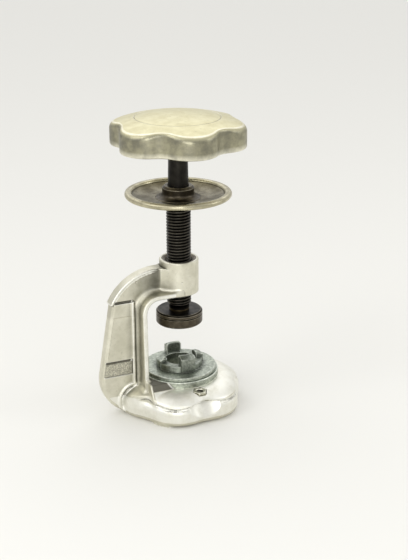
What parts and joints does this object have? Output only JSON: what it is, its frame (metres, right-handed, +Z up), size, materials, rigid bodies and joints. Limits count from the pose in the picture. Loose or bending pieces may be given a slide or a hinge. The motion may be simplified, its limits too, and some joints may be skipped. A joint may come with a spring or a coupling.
{
  "type": "watch case opener",
  "caption": "Bench press with a cast C-frame on a lobed foot, a hollow clamp screw with a saucer wheel, a scalloped knob that turns a fluted case key, and a die with jaws.",
  "frame": {"origin": "the spindle's axis at the plane of the bench", "axes": "+Z up along the spindle; the column stands at -X, so +X points to the open side; +Y completes the frame"},
  "size_m": [0.0991, 0.0876, 0.1992],
  "materials": {
    "cast_aluminium": "tumbled satin casting",
    "polished_aluminium": "soft polish, slightly yellowed",
    "black_steel": "oiled black oxide",
    "dark_steel": "turned steel with dark brown patina",
    "grey_steel": "ground steel, dull",
    "nickel_plate": "tarnished nickel plate",
    "fastener_steel": "plated fastener",
    "bearing_brass": "plain turned"
  },
  "bodies": {
    "frame": {"frame_casting": "cast_aluminium", "threaded_bush": "dark_steel", "die_seat": "grey_steel", "seat_screws": "fastener_steel", "locating_pin": "fastener_steel", "bench_nut": "fastener_steel"},
    "die": {"case_die": "grey_steel"},
    "thrust": {"lower_thrust_washer": "bearing_brass", "upper_thrust_washer": "bearing_brass"},
    "clamp": {"clamp_screw": "black_steel", "wheel_hub": "dark_steel", "wheel_dish": "nickel_plate", "wheel_grub_screws": "black_steel"},
    "driver": {"drive_spindle": "black_steel", "key_holder": "dark_steel", "case_key": "grey_steel", "key_screw": "fastener_steel", "drive_pin": "fastener_steel", "hand_knob": "polished_aluminium", "knob_key": "fastener_steel", "knob_washer": "fastener_steel", "knob_nut": "fastener_steel", "knob_cap": "polished_aluminium"}
  },
  "joints": [
    {"name": "clamp_travel", "type": "slide", "parent": "frame", "child": "thrust", "axis": [0, 0, 1], "range_m": [-0.01501, 0.01201]},
    {"name": "clamp_turn", "type": "hinge", "parent": "thrust", "child": "clamp", "pos_m": [0, 0, 0.1], "axis": [0, 0, 1], "range_deg": [-2700, 2160]},
    {"name": "key_turn", "type": "hinge", "parent": "thrust", "child": "driver", "pos_m": [0, 0, 0.1], "axis": [0, 0, 1], "continuous": true},
    {"name": "die_lift", "type": "slide", "parent": "frame", "child": "die", "axis": [0, 0, 1], "range_m": [0, 0.0045]}
  ],
  "couplings": [
    {"joint": "clamp_travel", "follows": "clamp_turn", "m_per_rad": 0.00031831}
  ]
}
